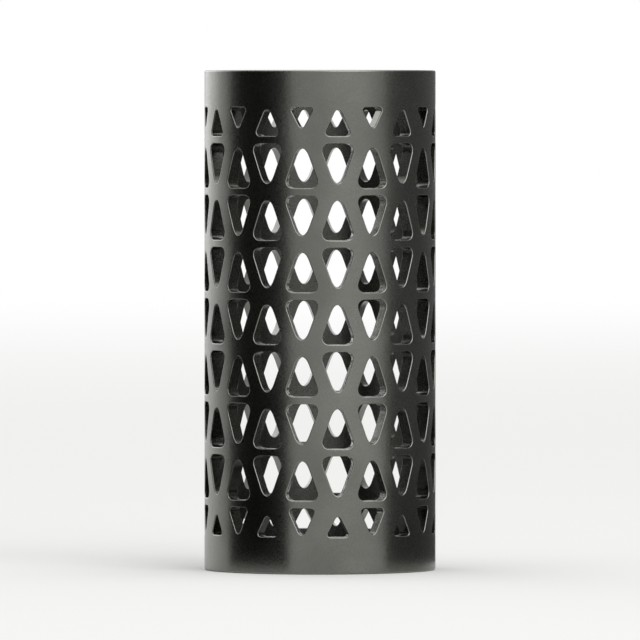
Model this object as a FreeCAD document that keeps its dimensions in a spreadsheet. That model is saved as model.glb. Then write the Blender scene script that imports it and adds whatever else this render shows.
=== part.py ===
import FreeCAD, Part
import math
import os
import Sketcher

# Spinal interbody cage: an upright tube with a plain band at each end and a lattice of
# triangular windows all round. Millimetres, +Z along the tube, origin at the centre of the
# lower end face. The two columns of windows nearest -Y stand half a column off the front.

drivingSizes = {
    "outer_diameter": 25.0,
    "wall_thickness": 1.5,
    "overall_height": 54.0,
    "end_band_height": 4.0,
    "column_pairs": 10,  # in a pair, one column's windows point up where the other's point down
    "row_pitch": 5.58,
    "strut_width": 0.8,  # level strut between two rows
    "window_foot": 3.7,  # level edge at the wide end
    "window_tip": 1.1,  # level edge at the narrow end
    "window_height": 3.9,
    "end_window_foot": 2.9,  # foot on the outermost strut
    "end_window_height": 3.0,
    "band_window_foot": 2.6,  # foot on the end band
    "band_window_height": 2.4,
}


# The sheet of driving dimensions, one alias to a row.
def makeSheet(doc):
    sheet = doc.addObject("Spreadsheet::Sheet", "Sizes")
    for row, (alias, value) in enumerate(drivingSizes.items(), start=1):
        sheet.set(f"A{row}", alias.replace("_", " "))
        sheet.set(f"B{row}", str(value))
        sheet.setAlias(f"B{row}", alias)
    doc.recompute()
    return sheet


# One of the body's own origin planes or axes.
def originFeature(body, role):
    return next(feature for feature in body.Origin.OriginFeatures if feature.Role == role)


# A sketch on the upright plane through the axis, its height along the tube.
def newSketch(body, name):
    sketch = body.newObject("Sketcher::SketchObject", name)
    sketch.AttachmentSupport = [(originFeature(body, "XZ_Plane"), "")]
    sketch.MapMode = "FlatFace"
    return sketch


# A closed loop of lines, one starting at each corner. Returns the number of the first.
def drawLoop(sketch, corners):
    first = sketch.GeometryCount
    ends = corners[1:] + corners[:1]
    lines = [
        Part.LineSegment(FreeCAD.Vector(*start, 0), FreeCAD.Vector(*end, 0))
        for start, end in zip(corners, ends)
    ]
    sketch.addGeometry(lines)
    joints = [
        Sketcher.Constraint("Coincident", first + n, 2, first + (n + 1) % len(corners), 1)
        for n in range(len(corners))
    ]
    sketch.addConstraint(joints)
    return first


# Distances across ("X") or up ("Y") from the start of one line to the start of another,
# each with a name and bound to an expression. Line None stands for the sketch's origin.
def setDistances(sketch, distances):
    for direction, start, end, name, expression in distances:
        first = (-1, 1) if start is None else (start, 1)
        value = float(sketch.evalExpression(expression))
        number = sketch.addConstraint(Sketcher.Constraint(f"Distance{direction}", *first, end, 1, value))
        sketch.renameConstraint(number, name)
        sketch.setExpression(f"Constraints.{name}", expression)


# The wall of the tube turned about its axis. The bore has an edge where each plain band
# ends, so that the bands and the mesh between them are faces of their own.
def makeTube(body, sheet):
    outer = sheet.outer_diameter / 2
    inner = outer - sheet.wall_thickness
    top = sheet.overall_height
    band = sheet.end_band_height
    section = newSketch(body, "WallSection")
    corners = [(inner, 0), (outer, 0), (outer, top), (inner, top), (inner, top - band), (inner, band)]
    lowerFace = drawLoop(section, corners)
    outerWall, upperFace, upperBore, meshBore, lowerBore = range(1, 6)
    level = [Sketcher.Constraint("Horizontal", line) for line in (lowerFace, upperFace)]
    walls = (outerWall, upperBore, meshBore, lowerBore)
    upright = [Sketcher.Constraint("Vertical", line) for line in walls]
    section.addConstraint(level + upright)
    section.addConstraint(Sketcher.Constraint("PointOnObject", lowerFace, 1, -1))
    setDistances(
        section,
        [
            ("X", None, outerWall, "outerRadius", "Sizes.outer_diameter / 2"),
            ("X", lowerFace, outerWall, "wall", "Sizes.wall_thickness"),
            ("Y", outerWall, upperFace, "height", "Sizes.overall_height"),
            ("Y", lowerFace, lowerBore, "lowerBand", "Sizes.end_band_height"),
            ("Y", meshBore, upperBore, "upperBand", "Sizes.end_band_height"),
        ],
    )

    tube = body.newObject("PartDesign::Revolution", "Tube")
    tube.Profile = section
    tube.ReferenceAxis = (section, ["V_Axis"])
    tube.Angle = 360
    tube.Refine = False
    return tube


# One window of a column, on the axis of the sketch: a triangle whose tip is cut off level, or
# a whole triangle at the ends of the tube. Its foot is at the given level and its tip above
# it, or below it if inverted.
def drawWindow(sketch, sheet, row, family, level, inverted):
    foot = getattr(sheet, f"{family}_foot") / 2
    footLevel = float(sheet.evalExpression(level))
    height = getattr(sheet, f"{family}_height")
    tipLevel = footLevel - height if inverted else footLevel + height
    if family == "window":
        tip = sheet.window_tip / 2
        tips = [(tip, tipLevel), (-tip, tipLevel)]
    else:
        tips = [(0, tipLevel)]
    leftFoot = drawLoop(sketch, [(-foot, footLevel), (foot, footLevel)] + tips)
    rightFoot, rightTip, leftTip = leftFoot + 1, leftFoot + 2, leftFoot + 1 + len(tips)
    verticalAxis = -2
    sketch.addConstraint(Sketcher.Constraint("Symmetric", leftFoot, 1, rightFoot, 1, verticalAxis))
    lower, upper = (rightTip, leftFoot) if inverted else (leftFoot, rightTip)
    distances = [
        ("X", leftFoot, rightFoot, f"foot{row}", f"Sizes.{family}_foot"),
        ("Y", None, leftFoot, f"level{row}", level),
        ("Y", lower, upper, f"height{row}", f"Sizes.{family}_height"),
    ]
    if family == "window":
        sketch.addConstraint(Sketcher.Constraint("Symmetric", leftTip, 1, rightTip, 1, verticalAxis))
        distances.append(("X", leftTip, rightTip, f"tip{row}", "Sizes.window_tip"))
    else:
        sketch.addConstraint(Sketcher.Constraint("PointOnObject", rightTip, 1, verticalAxis))
    setDistances(sketch, distances)


# The levels of a column's windows from the lower end up. Upright and inverted ones take
# turns up a column and along a row, so that two feet share each strut. The first and the
# last are smaller: an end window stands on the outermost strut and points at the end of the
# tube, and in the other columns a band window stands on the end band and points inwards.
def columnWindows(sheet, column):
    plainEnds = 2 * (sheet.end_band_height + sheet.end_window_height)
    fullRows = math.floor((sheet.overall_height - plainEnds - sheet.strut_width) / sheet.row_pitch)
    lastRow = fullRows + 1
    windows = []
    for row in range(lastRow + 1):
        inverted = (row + column) % 2 == 0
        strutBelow = f"(Sizes.overall_height - {fullRows - 2 * (row - 1)} * Sizes.row_pitch) / 2"
        above = f"{strutBelow} + Sizes.strut_width / 2"
        below = f"{strutBelow} + Sizes.row_pitch - Sizes.strut_width / 2"
        family = "end_window" if row in (0, lastRow) else "window"
        if row == 0 and not inverted:
            family = "band_window"
            above = "Sizes.end_band_height"
        if row == lastRow and inverted:
            family = "band_window"
            below = "Sizes.overall_height - Sizes.end_band_height"
        windows.append((row, family, below if inverted else above, inverted))
    return windows


# All the windows of one column, cut through the wall on the side of -Y, half a column off
# the front. The sketch stands in the bore, one wall's thickness clear of it, and the cut
# goes as far beyond the outside, so no other wall is cut.
def cutColumn(body, sheet, column):
    angle = f"({column} - 0.5) * 180 deg / Sizes.column_pairs"
    clearance = "Sizes.wall_thickness"
    distance = f"(Sizes.outer_diameter / 2 - Sizes.wall_thickness - {clearance})"
    outlines = newSketch(body, f"WindowOutlines{column}")
    turn = FreeCAD.Rotation(FreeCAD.Vector(0, 1, 0), 1)
    outlines.AttachmentOffset = FreeCAD.Placement(FreeCAD.Vector(), turn)
    outlines.setExpression(".AttachmentOffset.Rotation.Angle", angle)
    outlines.setExpression(".AttachmentOffset.Base.x", f"{distance} * sin({angle})")
    outlines.setExpression(".AttachmentOffset.Base.z", f"{distance} * cos({angle})")
    for window in columnWindows(sheet, column):
        drawWindow(outlines, sheet, *window)

    windows = body.newObject("PartDesign::Pocket", f"WindowColumn{column}")
    windows.Profile = outlines
    windows.Type = "Length"
    windows.Reversed = True
    windows.setExpression("Length", f"{clearance} + Sizes.wall_thickness + {clearance}")
    windows.Refine = False
    return windows


# Both columns of a pair, repeated round the tube.
def cutMesh(body, sheet):
    columns = [cutColumn(body, sheet, column) for column in (0, 1)]
    mesh = body.newObject("PartDesign::PolarPattern", "Mesh")
    mesh.Originals = columns
    mesh.Axis = (originFeature(body, "Z_Axis"), [""])
    mesh.Angle = 360
    mesh.setExpression("Occurrences", "Sizes.column_pairs")
    mesh.Refine = False
    body.Tip = mesh
    return mesh


# The cage is one valid solid, and each cut took material away.
def checkCage(doc, body):
    for item in doc.Objects:
        if {"Invalid", "Error"} & set(item.State):
            raise RuntimeError(f"{item.Name} failed: {item.State}")
    if body.Shape.isNull() or not body.Shape.isValid() or len(body.Shape.Solids) != 1:
        raise RuntimeError(f"{body.Label} is not one valid solid")
    steps = [item for item in body.Group if item.isDerivedFrom("PartDesign::Feature")]
    for before, after in zip(steps, steps[1:]):
        if not after.Shape.Volume < before.Shape.Volume:
            raise RuntimeError(f"{after.Name} cuts nothing")


def makeCage(doc, sheet):
    body = doc.addObject("PartDesign::Body", "MeshCage")
    body.Label = "mesh_cage"
    body.Placement = FreeCAD.Placement()
    makeTube(body, sheet)
    cutMesh(body, sheet)
    doc.recompute()
    checkCage(doc, body)
    return body


def main():
    doc = FreeCAD.newDocument("InterbodyCage")
    sheet = makeSheet(doc)
    cage = makeCage(doc, sheet)
    os.makedirs("parts", exist_ok=True)
    cage.Shape.exportStep(os.path.join("parts", f"{cage.Label}.step"))
    print(f"{cage.Label}: {cage.Shape.Volume:.1f} mm3, {len(cage.Shape.Faces)} faces")


main()
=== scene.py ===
import math

import bmesh
import bpy
from mathutils import Matrix, Vector


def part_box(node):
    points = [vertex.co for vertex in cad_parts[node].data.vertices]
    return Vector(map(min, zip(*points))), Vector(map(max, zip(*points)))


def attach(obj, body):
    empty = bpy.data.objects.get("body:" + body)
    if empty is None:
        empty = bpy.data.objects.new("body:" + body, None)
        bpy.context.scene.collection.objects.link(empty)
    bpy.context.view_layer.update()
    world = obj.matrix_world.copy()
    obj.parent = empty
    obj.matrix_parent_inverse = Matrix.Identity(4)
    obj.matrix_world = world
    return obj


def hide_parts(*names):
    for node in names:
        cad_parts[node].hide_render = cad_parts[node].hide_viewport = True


# Spinal interbody cage: an upright titanium tube, cut through all round with rows of
# rounded triangles that point up and down by turns, with a plain band at each end.

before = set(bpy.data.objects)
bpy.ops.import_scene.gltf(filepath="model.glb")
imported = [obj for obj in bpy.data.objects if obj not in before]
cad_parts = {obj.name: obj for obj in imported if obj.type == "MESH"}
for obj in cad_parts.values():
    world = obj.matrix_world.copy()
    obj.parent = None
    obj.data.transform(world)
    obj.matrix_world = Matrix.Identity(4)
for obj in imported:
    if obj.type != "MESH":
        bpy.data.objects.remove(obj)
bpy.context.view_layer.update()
mm = 0.001


# A written sRGB colour, such as "#808080", as the linear one that a shader takes
def linearColour(hexColour):
    channels = [int(hexColour[i:i + 2], 16) / 255 for i in (1, 3, 5)]
    linear = [c / 12.92 if c <= 0.04045 else ((c + 0.055) / 1.055) ** 2.4 for c in channels]
    return (*linear, 1)


# A node with its settings and links. A link is the name or number of an input, then the
# socket that feeds it. Other inputs take plain values. Input 0 of a Mix node is its factor,
# 2 and 3 are its numbers, and 6 and 7 its colours.
def addNode(tree, kind, inputs=None, **settings):
    node = tree.nodes.new(kind)
    for name, value in settings.items():
        setattr(node, name, value)
    for name, value in (inputs or {}).items():
        if isinstance(value, bpy.types.NodeSocket):
            tree.links.new(value, node.inputs[name])
        else:
            node.inputs[name].default_value = value
    return node


def newMaterial(name):
    material = bpy.data.materials.new(name)
    material.use_nodes = True
    material.node_tree.nodes.clear()
    return material


# Turns a bmesh into an object with its material
def makeObject(name, bm, material):
    mesh = bpy.data.meshes.new(name)
    bm.to_mesh(mesh)
    bm.free()
    mesh.materials.append(material)
    made = bpy.data.objects.new(name, mesh)
    bpy.context.scene.collection.objects.link(made)
    return made


# Grade 5 titanium, grit blasted and then darkened: a satin grey metal with a grain that is
# just seen. Handling has rubbed the window edges paler, and the cut walls of the windows,
# which the grit hardly reached, keep fine marks of the cutter straight through the wall.
titaniumValues = {
    "metal": "#70716c",
    "metalDarker": "#656661",
    "rubbedEdge": "#8b8c87",
    "roughness": 0.3,
    "cutRoughness": 0.24,
    "roughnessSpread": 0.07,
    "gritSize": 0.1 * mm,  # one mark of the blasting grit
    "gritHeight": 0.005 * mm,
    "gritOnCut": 0.35,  # how much of the grit's marks the cut walls have
    "unevenSize": 0.5 * mm,  # soft unevenness that the grit leaves over a wider patch
    "unevenHeight": 0.009 * mm,
    "cutterSize": 0.09 * mm,  # width of one mark of the cutter
    "cutterHeight": 0.006 * mm,
    "cutterRadius": 12.5 * mm,  # from the axis, where the marks have that width
    "cloudSize": 7 * mm,  # slow change of tone from the blasting
    "cloudRange": (0.35, 0.65),  # the stretch of its noise between the two tones
    "gritRange": (0.3, 0.7),  # and of the grit's noise, between smoother and rougher
    "fineDetail": 3,  # layers of noise in the clouds and the grit
    "softDetail": 2,  # and in the unevenness and the cutter's marks
}


def makeTitanium():
    v = titaniumValues
    material = newMaterial("blasted_dark_titanium")
    tree = material.node_tree
    place = addNode(tree, "ShaderNodeTexCoord").outputs["Object"]
    wear = addNode(tree, "ShaderNodeAttribute", attribute_name="edgeWear").outputs["Fac"]
    cut = addNode(tree, "ShaderNodeAttribute", attribute_name="cutWall").outputs["Fac"]

    cloud = addNode(tree, "ShaderNodeTexNoise", {
        "Vector": place,
        "Scale": 1 / v["cloudSize"],
        "Detail": v["fineDetail"],
    })
    tone = addNode(tree, "ShaderNodeMapRange", {
        0: cloud.outputs[0],
        1: v["cloudRange"][0],
        2: v["cloudRange"][1],
    })
    body = addNode(tree, "ShaderNodeMix", {
        0: tone.outputs[0],
        6: linearColour(v["metal"]),
        7: linearColour(v["metalDarker"]),
    }, data_type="RGBA")
    colour = addNode(tree, "ShaderNodeMix", {
        0: wear,
        6: body.outputs[2],
        7: linearColour(v["rubbedEdge"]),
    }, data_type="RGBA")

    grit = addNode(tree, "ShaderNodeTexNoise", {
        "Vector": place,
        "Scale": 1 / v["gritSize"],
        "Detail": v["fineDetail"],
    })
    uneven = addNode(tree, "ShaderNodeTexNoise", {
        "Vector": place,
        "Scale": 1 / v["unevenSize"],
        "Detail": v["softDetail"],
    })
    level = addNode(tree, "ShaderNodeMix", {
        0: cut,
        2: v["roughness"],
        3: v["cutRoughness"],
    }, data_type="FLOAT")
    spread = addNode(tree, "ShaderNodeMapRange", {
        0: grit.outputs[0],
        1: v["gritRange"][0],
        2: v["gritRange"][1],
        3: -v["roughnessSpread"],
        4: v["roughnessSpread"],
    })
    roughness = addNode(tree, "ShaderNodeMath", {
        0: level.outputs[0],
        1: spread.outputs[0],
    }, operation="ADD")

    # The cutter's marks stay the same along a line out from the axis
    flat = addNode(tree, "ShaderNodeVectorMath", {
        0: place,
        1: (1, 1, 0),
    }, operation="MULTIPLY")
    outward = addNode(tree, "ShaderNodeVectorMath", {0: flat.outputs[0]}, operation="NORMALIZE")
    upright = addNode(tree, "ShaderNodeVectorMath", {
        0: place,
        1: (0, 0, 1),
    }, operation="MULTIPLY")
    onSkin = addNode(tree, "ShaderNodeVectorMath", {
        0: outward.outputs[0],
        1: (v["cutterRadius"],) * 3,
        2: upright.outputs[0],
    }, operation="MULTIPLY_ADD")
    cutter = addNode(tree, "ShaderNodeTexNoise", {
        "Vector": onSkin.outputs[0],
        "Scale": 1 / v["cutterSize"],
        "Detail": v["softDetail"],
    })

    gritStrength = addNode(tree, "ShaderNodeMix", {
        0: cut,
        2: 1.0,
        3: v["gritOnCut"],
    }, data_type="FLOAT")
    soft = addNode(tree, "ShaderNodeBump", {
        "Height": uneven.outputs[0],
        "Distance": v["unevenHeight"],
        "Strength": 1,
    })
    fine = addNode(tree, "ShaderNodeBump", {
        "Height": grit.outputs[0],
        "Distance": v["gritHeight"],
        "Strength": gritStrength.outputs[0],
        "Normal": soft.outputs[0],
    })
    marks = addNode(tree, "ShaderNodeBump", {
        "Height": cutter.outputs[0],
        "Distance": v["cutterHeight"],
        "Strength": cut,
        "Normal": fine.outputs[0],
    })
    shader = addNode(tree, "ShaderNodeBsdfPrincipled", {
        "Base Color": colour.outputs[2],
        "Metallic": 1,
        "Roughness": roughness.outputs[0],
        "Normal": marks.outputs[0],
    })
    addNode(tree, "ShaderNodeOutputMaterial", {"Surface": shader.outputs[0]})
    print("titanium:", len(tree.nodes), "nodes")
    return material


# The cage

cageValues = {
    "columnPairs": 10,  # in a row, windows that point up and down take turns
    "fullRows": 7,
    "rowPitch": 5.58 * mm,
    "levelStrut": 0.8 * mm,
    "wall": 1.5 * mm,
    "endBand": 4.0 * mm,
    # Foot and rise of a window are those before its corners are rounded. An end window stands
    # on the outermost strut, and a band window on the plain end band.
    "window": {"foot": 4.0 * mm, "rise": 5.46 * mm, "corner": 0.8 * mm},
    "endWindow": {"foot": 3.1 * mm, "rise": 3.32 * mm, "corner": 0.45 * mm},
    "bandWindow": {"foot": 2.65 * mm, "rise": 2.5 * mm, "corner": 0.35 * mm},
    "outerRound": 0.12 * mm,  # broken edges of the windows
    "boreRound": 0.07 * mm,
    "endRound": 0.2 * mm,
    "roundSteps": 3,
    "footSteps": 6,  # steps of each rounded corner at a window's foot
    "tipSteps": 8,
    "tolerance": 0.002 * mm,  # points nearer to each other than this are one
}


# The straight edges of a window outline are its three longest
def longestEdges(edges, count):
    return sorted(edges, key=lambda edge: edge.calc_length(), reverse=True)[:count]


# A window that stands on its foot, in the X-Z plane. Returns its edges.
def drawWindow(bm, window, footLevel):
    v = cageValues
    halfFoot = window["foot"] / 2
    feet = [bm.verts.new((side * halfFoot, 0, footLevel)) for side in (-1, 1)]
    tip = bm.verts.new((0, 0, footLevel + window["rise"]))
    bm.faces.new([*feet, tip])
    footAngle = math.atan2(window["rise"], halfFoot)
    corners = (
        (feet, window["corner"] / math.tan(footAngle / 2), v["footSteps"]),
        ([tip], window["corner"] * math.tan(footAngle), v["tipSteps"]),
    )
    for verts, distance, steps in corners:
        bmesh.ops.bevel(
            bm, geom=verts, affect="VERTICES", offset=distance, offset_type="OFFSET",
            segments=steps, profile=0.5, material=-1,
        )
    outline = max(bm.faces, key=lambda face: len(face.verts))
    bmesh.ops.subdivide_edges(bm, edges=longestEdges(outline.edges, 3), cuts=1)
    edges = list(outline.edges)
    bmesh.ops.delete(bm, geom=[outline], context="FACES_ONLY")
    return edges


# The border of a tile round that window, with as many edges as the window has. Its slanted
# sides run down the middle of the struts between the window and its neighbours.
def drawBorder(bm, pitch, lean, height):
    v = cageValues
    footCuts = v["footSteps"] + 1
    tipCuts = v["tipSteps"] // 2 - 1
    sideCuts = v["footSteps"] // 2 + v["tipSteps"] // 4 + 1
    halfFoot = (pitch + lean) / 2
    halfTip = (pitch - lean) / 2
    places = ((-halfFoot, 0), (halfFoot, 0), (halfTip, height), (-halfTip, height))
    border = bm.faces.new([bm.verts.new((x, 0, z)) for x, z in places])
    for edge, cuts in zip(list(border.edges), (footCuts, sideCuts, tipCuts, sideCuts)):
        bmesh.ops.subdivide_edges(bm, edges=[edge], cuts=cuts)
    edges = list(border.edges)
    bmesh.ops.delete(bm, geom=[border], context="FACES_ONLY")
    return edges


# One tile of the wall, laid flat: X round the tube, Y into the wall and Z up. The cut is
# straight, so at the bore, where a degree is shorter, the window covers more of them.
def makeTile(name, window, pitch, lean, height, boreWiden):
    v = cageValues
    bm = bmesh.new()
    windowEdges = drawWindow(bm, window, v["levelStrut"] / 2)
    borderEdges = drawBorder(bm, pitch, lean, height)
    copy = bmesh.ops.duplicate(bm, geom=windowEdges + borderEdges)
    boreWindow = [copy["edge_map"][edge] for edge in windowEdges]
    boreBorder = [copy["edge_map"][edge] for edge in borderEdges]
    boreVerts = {vert for edge in boreWindow + boreBorder for vert in edge.verts}
    bmesh.ops.translate(bm, verts=list(boreVerts), vec=(0, v["wall"], 0))
    cutVerts = {vert for edge in boreWindow for vert in edge.verts}
    bmesh.ops.scale(bm, verts=list(cutVerts), vec=(boreWiden, 1, 1))
    for loops in (windowEdges + borderEdges, boreWindow + boreBorder, windowEdges + boreWindow):
        bmesh.ops.bridge_loops(bm, edges=loops)
    bmesh.ops.recalc_face_normals(bm, faces=bm.faces)
    rims = ((windowEdges, v["outerRound"]), (boreWindow, v["boreRound"]))
    for edges, width in rims:
        bmesh.ops.bevel(
            bm, geom=edges, affect="EDGES", offset=width, offset_type="OFFSET",
            segments=v["roundSteps"], profile=0.5, material=-1,
        )
    tile = bpy.data.meshes.new(name)
    bm.to_mesh(tile)
    bm.free()
    return tile


# Adds a tile in its column and row, upside down if inverted
def placeTile(bm, tile, across, level, height, inverted):
    already = len(bm.verts)
    bm.from_mesh(tile)
    bm.verts.ensure_lookup_table()
    verts = bm.verts[already:]
    if inverted:
        bmesh.ops.scale(bm, verts=verts, vec=(1, 1, -1))
        bmesh.ops.translate(bm, verts=verts, vec=(0, 0, height))
    bmesh.ops.translate(bm, verts=verts, vec=(across, 0, level))


# Carries both skins of the wall on to the end of the tube, joins them with the end face and
# breaks its two edges
def closeEnd(bm, meshEnd, tubeEnd):
    v = cageValues
    near = v["tolerance"]
    openEdges = [
        edge for edge in bm.edges
        if edge.is_boundary and all(abs(vert.co.z - meshEnd) < near for vert in edge.verts)
    ]
    grown = bmesh.ops.extrude_edge_only(bm, edges=openEdges)["geom"]
    verts = [item for item in grown if isinstance(item, bmesh.types.BMVert)]
    bmesh.ops.translate(bm, verts=verts, vec=(0, 0, tubeEnd - meshEnd))
    endEdges = [
        item for item in grown
        if isinstance(item, bmesh.types.BMEdge) and item.is_boundary
    ]
    bmesh.ops.bridge_loops(bm, edges=endEdges)
    bmesh.ops.recalc_face_normals(bm, faces=bm.faces)
    bmesh.ops.bevel(
        bm, geom=endEdges, affect="EDGES", offset=v["endRound"], offset_type="OFFSET",
        segments=v["roundSteps"], profile=0.5, material=-1,
    )


# Both walls reflect as the true cylinder does, and the faces between them keep their own lie.
# The rounded edges carry the wear, and the faces between them are the cut walls.
def setNormalsAndWear(mesh, radius, wall):
    v = cageValues
    near = v["tolerance"]
    bm = bmesh.new()
    bm.from_mesh(mesh)
    normals = []
    wear = []
    cut = []
    for vert in bm.verts:
        fromAxis = Vector((vert.co.x, vert.co.y, 0))
        depth = radius - fromAxis.length
        if depth < near:
            normals.append(fromAxis.normalized())
        elif depth > wall - near:
            normals.append(-fromAxis.normalized())
        else:
            lie = sum((face.normal * face.calc_area() for face in vert.link_faces), Vector())
            normals.append(lie.normalized())
        onRim = near < depth < v["outerRound"] - near
        onCutWall = v["outerRound"] - near < depth < wall - v["boreRound"] + near
        wear.append(float(onRim))
        cut.append(float(onCutWall))
    bm.free()
    mesh.normals_split_custom_set_from_vertices(normals)
    for name, values in (("edgeWear", wear), ("cutWall", cut)):
        attribute = mesh.attributes.new(name, "FLOAT", "POINT")
        attribute.data.foreach_set("value", values)


def makeCage(material):
    v = cageValues
    low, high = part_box("mesh_cage")
    radius = (high.x - low.x) / 2
    height = high.z - low.z
    pitch = math.tau * radius / (2 * v["columnPairs"])
    strut = v["levelStrut"]
    firstStrut = (height - v["fullRows"] * v["rowPitch"]) / 2
    meshFoot = v["endBand"] - strut / 2
    endHeight = firstStrut - meshFoot
    window = v["window"]
    lean = window["foot"] / 2 / window["rise"] * v["rowPitch"]  # of a slanted side, in one row
    boreWiden = radius / (radius - v["wall"])
    fullTile = makeTile("full_tile", window, pitch, lean, v["rowPitch"], boreWiden)
    endTile = makeTile("end_tile", v["endWindow"], pitch, lean, endHeight, boreWiden)
    bandTile = makeTile("band_tile", v["bandWindow"], pitch, lean, endHeight, boreWiden)
    print("cage: tiles made,", len(fullTile.polygons), "faces each")

    bm = bmesh.new()
    lastRow = v["fullRows"] + 1
    for row in range(lastRow + 1):
        atEnd = row in (0, lastRow)
        tileHeight = endHeight if atEnd else v["rowPitch"]
        level = meshFoot if row == 0 else firstStrut + (row - 1) * v["rowPitch"]
        for column in (0, 1):
            inverted = (row + column) % 2 == 0
            onBand = atEnd and inverted == (row == lastRow)
            tile = bandTile if onBand else endTile if atEnd else fullTile
            placeTile(bm, tile, (column - 0.5) * pitch, low.z + level, tileHeight, inverted)

    for vert in bm.verts:
        angle = vert.co.x / radius
        fromAxis = radius - vert.co.y
        vert.co = (fromAxis * math.sin(angle), -fromAxis * math.cos(angle), vert.co.z)
    bmesh.ops.spin(
        bm, geom=bm.verts[:] + bm.edges[:] + bm.faces[:], cent=(0, 0, 0), axis=(0, 0, 1),
        angle=math.tau, steps=v["columnPairs"], use_merge=True, use_duplicate=True,
    )
    bmesh.ops.remove_doubles(bm, verts=bm.verts, dist=v["tolerance"])
    closeEnd(bm, low.z + meshFoot, low.z)
    closeEnd(bm, high.z - meshFoot, high.z)
    bmesh.ops.recalc_face_normals(bm, faces=bm.faces)
    openCount = sum(edge.is_boundary for edge in bm.edges)
    badCount = sum(not edge.is_manifold for edge in bm.edges)
    print("cage:", len(bm.faces), "faces,", openCount, "open edges,", badCount, "bad edges")

    cage = makeObject("mesh_cage_dressed", bm, material)
    cage.data.shade_smooth()
    setNormalsAndWear(cage.data, radius, v["wall"])
    for tile in (fullTile, endTile, bandTile):
        bpy.data.meshes.remove(tile)
    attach(cage, "root")
    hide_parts("mesh_cage")


# Floor and background

floorValues = {
    "paper": "#f2f2f0",
    "half": 4.0,  # half the length of a side, in metres
    "fadeFrom": 0.05,  # distance from the cage where the paper starts to whiten, in metres
    "fadeTo": 1.6,
}


# Adds the rays that see the white background: from the camera, and off metal or through glass
def addSeenByRays(tree):
    path = addNode(tree, "ShaderNodeLightPath")
    direct = addNode(tree, "ShaderNodeMath", {
        0: path.outputs["Is Camera Ray"],
        1: path.outputs["Is Glossy Ray"],
    }, operation="MAXIMUM")
    seen = addNode(tree, "ShaderNodeMath", {
        0: direct.outputs[0],
        1: path.outputs["Is Transmission Ray"],
    }, operation="MAXIMUM")
    return seen.outputs[0]


# Matt white studio paper that whitens into the background
def makePaper():
    v = floorValues
    material = newMaterial("matt_studio_paper")
    tree = material.node_tree
    place = addNode(tree, "ShaderNodeTexCoord").outputs["Object"]
    away = addNode(tree, "ShaderNodeVectorMath", {0: place}, operation="LENGTH")
    fade = addNode(tree, "ShaderNodeMapRange", {
        0: away.outputs["Value"],
        1: v["fadeFrom"],
        2: v["fadeTo"],
    }, interpolation_type="SMOOTHSTEP")
    amount = addNode(tree, "ShaderNodeMath", {
        0: fade.outputs[0],
        1: addSeenByRays(tree),
    }, operation="MULTIPLY")
    matt = addNode(tree, "ShaderNodeBsdfDiffuse", {"Color": linearColour(v["paper"])})
    white = addNode(tree, "ShaderNodeEmission", {"Strength": 1})
    mixed = addNode(tree, "ShaderNodeMixShader", {
        0: amount.outputs[0],
        1: matt.outputs[0],
        2: white.outputs[0],
    })
    addNode(tree, "ShaderNodeOutputMaterial", {"Surface": mixed.outputs[0]})
    return material


def makeFloor():
    bm = bmesh.new()
    bmesh.ops.create_grid(bm, x_segments=1, y_segments=1, size=floorValues["half"])
    makeObject("floor", bm, makePaper())
    print("stage: floor")


# Dark cards that lean away from the cage on both sides and give the bright metal its dark
# bands. The camera doesn't see them. A band runs from one azimuth on the cage to another,
# where 0 is the camera's side and 90 is its right.
cards = {
    "left_card": {"from": -51.5, "to": -15.5, "colour": "#262626"},
    "right_card": {"from": 34, "to": 84, "colour": "#808080"},
}
cardValues = {
    "near": 0.017,  # distance of the lower edge from the cage's axis, in metres
    "far": 0.9,  # and of the upper edge
    "low": 0.0005,  # height of the lower edge
    "high": 0.9,
    "steps": 12,
}


# The azimuth of the camera's line of sight at a distance from the axis, once the cage has
# reflected it at a given azimuth
def sightAzimuth(onCage, cageRadius, distance):
    azimuth = math.radians(onCage)
    return 2 * azimuth - math.asin(cageRadius * math.sin(azimuth) / distance)


# Matt painted card, which shows in the metal as an even dark tone
def makeCardPaint(name, colour):
    material = newMaterial("matt_card_" + name)
    tree = material.node_tree
    matt = addNode(tree, "ShaderNodeBsdfDiffuse", {"Color": linearColour(colour)})
    addNode(tree, "ShaderNodeOutputMaterial", {"Surface": matt.outputs[0]})
    return material


# A card reaches from a low arc near the cage to a high one far off. Its sides follow the
# line of sight, so its band is upright from foot to top.
def makeCards(cageRadius):
    v = cardValues
    for name, card in cards.items():
        bm = bmesh.new()
        for distance, height in ((v["near"], v["low"]), (v["far"], v["high"])):
            first = sightAzimuth(card["from"], cageRadius, distance)
            last = sightAzimuth(card["to"], cageRadius, distance)
            corner = bm.verts.new((0, -distance, height))
            turn = Matrix.Rotation(first, 3, "Z")
            bmesh.ops.rotate(bm, verts=[corner], cent=(0, 0, 0), matrix=turn)
            bmesh.ops.spin(
                bm, geom=[corner], cent=(0, 0, 0), axis=(0, 0, 1),
                angle=last - first, steps=v["steps"],
            )
        bmesh.ops.bridge_loops(bm, edges=bm.edges[:])
        sheet = makeObject(name, bm, makeCardPaint(name, card["colour"]))
        sheet.visible_camera = False
        sheet.visible_diffuse = False
        sheet.visible_shadow = False
    print("stage:", len(cards), "cards")


# Light

# Soft boxes: where each stands, seen from the cage, its size in metres and its brightness,
# where 1 is white paper
softboxes = {
    "key": {"azimuth": 30, "elevation": 30, "width": 1.3, "height": 1.3, "white": 2.0},
    "leftRim": {"azimuth": -142, "elevation": 8, "width": 1.2, "height": 1.4, "white": 1.3},
    "overhead": {"azimuth": 0, "elevation": 88, "width": 1.6, "height": 1.6, "white": 1.3},
}
lightValues = {
    "softboxDistance": 1.7,  # from the middle of the cage, in metres
    "ambient": 0.55,  # the room's light on the paper, where 1 is white
}


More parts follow.
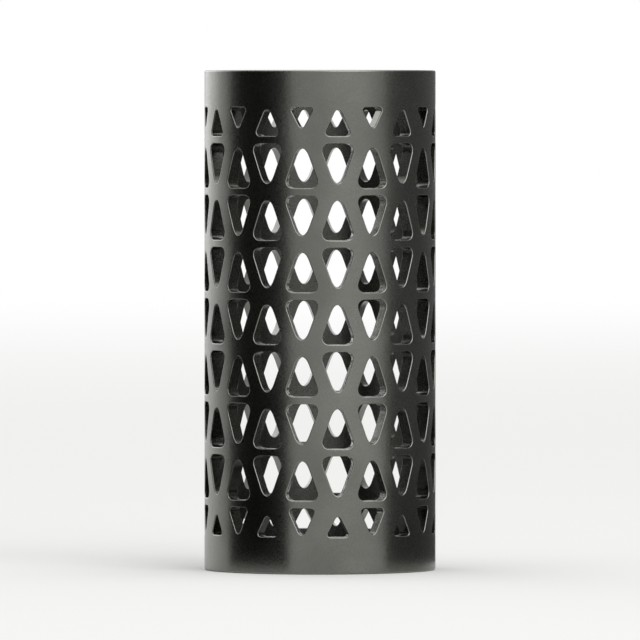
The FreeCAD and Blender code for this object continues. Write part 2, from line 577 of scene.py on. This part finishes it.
# White background, and a softer white that lights the paper
def makeWorld():
    world = bpy.data.worlds.new("studio")
    bpy.context.scene.world = world
    world.use_nodes = True
    tree = world.node_tree
    tree.nodes.clear()
    white = (1, 1, 1, 1)
    ambient = addNode(tree, "ShaderNodeBackground", {
        "Color": white,
        "Strength": lightValues["ambient"],
    })
    background = addNode(tree, "ShaderNodeBackground", {"Color": white, "Strength": 1})
    mixed = addNode(tree, "ShaderNodeMixShader", {
        0: addSeenByRays(tree),
        1: ambient.outputs[0],
        2: background.outputs[0],
    })
    addNode(tree, "ShaderNodeOutputWorld", {"Surface": mixed.outputs[0]})


# A place seen from the target at an azimuth and an elevation in degrees, turned to face it
def aimedFrom(azimuth, elevation, distance, target):
    a, e = math.radians(azimuth), math.radians(elevation)
    way = Vector((math.sin(a) * math.cos(e), -math.cos(a) * math.cos(e), math.sin(e)))
    turn = way.to_track_quat("Z", "Y").to_matrix().to_4x4()
    return Matrix.Translation(target + way * distance) @ turn


# A panel of area A and brightness 1 gives off pi times A watts
def makeLights(target):
    distance = lightValues["softboxDistance"]
    for name, box in softboxes.items():
        lamp = bpy.data.lights.new(name, "AREA")
        lamp.shape = "RECTANGLE"
        lamp.size = box["width"]
        lamp.size_y = box["height"]
        lamp.energy = box["white"] * math.pi * box["width"] * box["height"]
        light = bpy.data.objects.new(name, lamp)
        light.matrix_world = aimedFrom(box["azimuth"], box["elevation"], distance, target)
        light.visible_camera = False
        bpy.context.scene.collection.objects.link(light)
    print("stage:", len(softboxes), "soft boxes")


# Camera, level with the top of the cage and a metre off, as in the photograph

cameraValues = {
    "distance": 1.09,
    "elevation": 1.2,
    "sensor": 36.0,  # width in millimetres
    "filled": 0.78,  # share of the picture's height that the cage takes
    "clipStart": 0.01,
}


def makeCamera(target, height):
    v = cameraValues
    data = bpy.data.cameras.new("camera")
    data.sensor_width = v["sensor"]
    data.lens = v["sensor"] * v["distance"] * v["filled"] / height
    data.dof.use_dof = False
    data.clip_start = v["clipStart"]
    camera = bpy.data.objects.new("camera", data)
    camera.matrix_world = aimedFrom(0, v["elevation"], v["distance"], target)
    bpy.context.scene.collection.objects.link(camera)
    bpy.context.scene.camera = camera


scene = bpy.context.scene
scene.view_settings.view_transform = "Standard"
cageLow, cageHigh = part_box("mesh_cage")
middle = (cageLow + cageHigh) / 2
makeCamera(middle, cageHigh.z - cageLow.z)
makeCage(makeTitanium())
makeFloor()
makeCards(cageHigh.x)
makeWorld()
makeLights(middle)
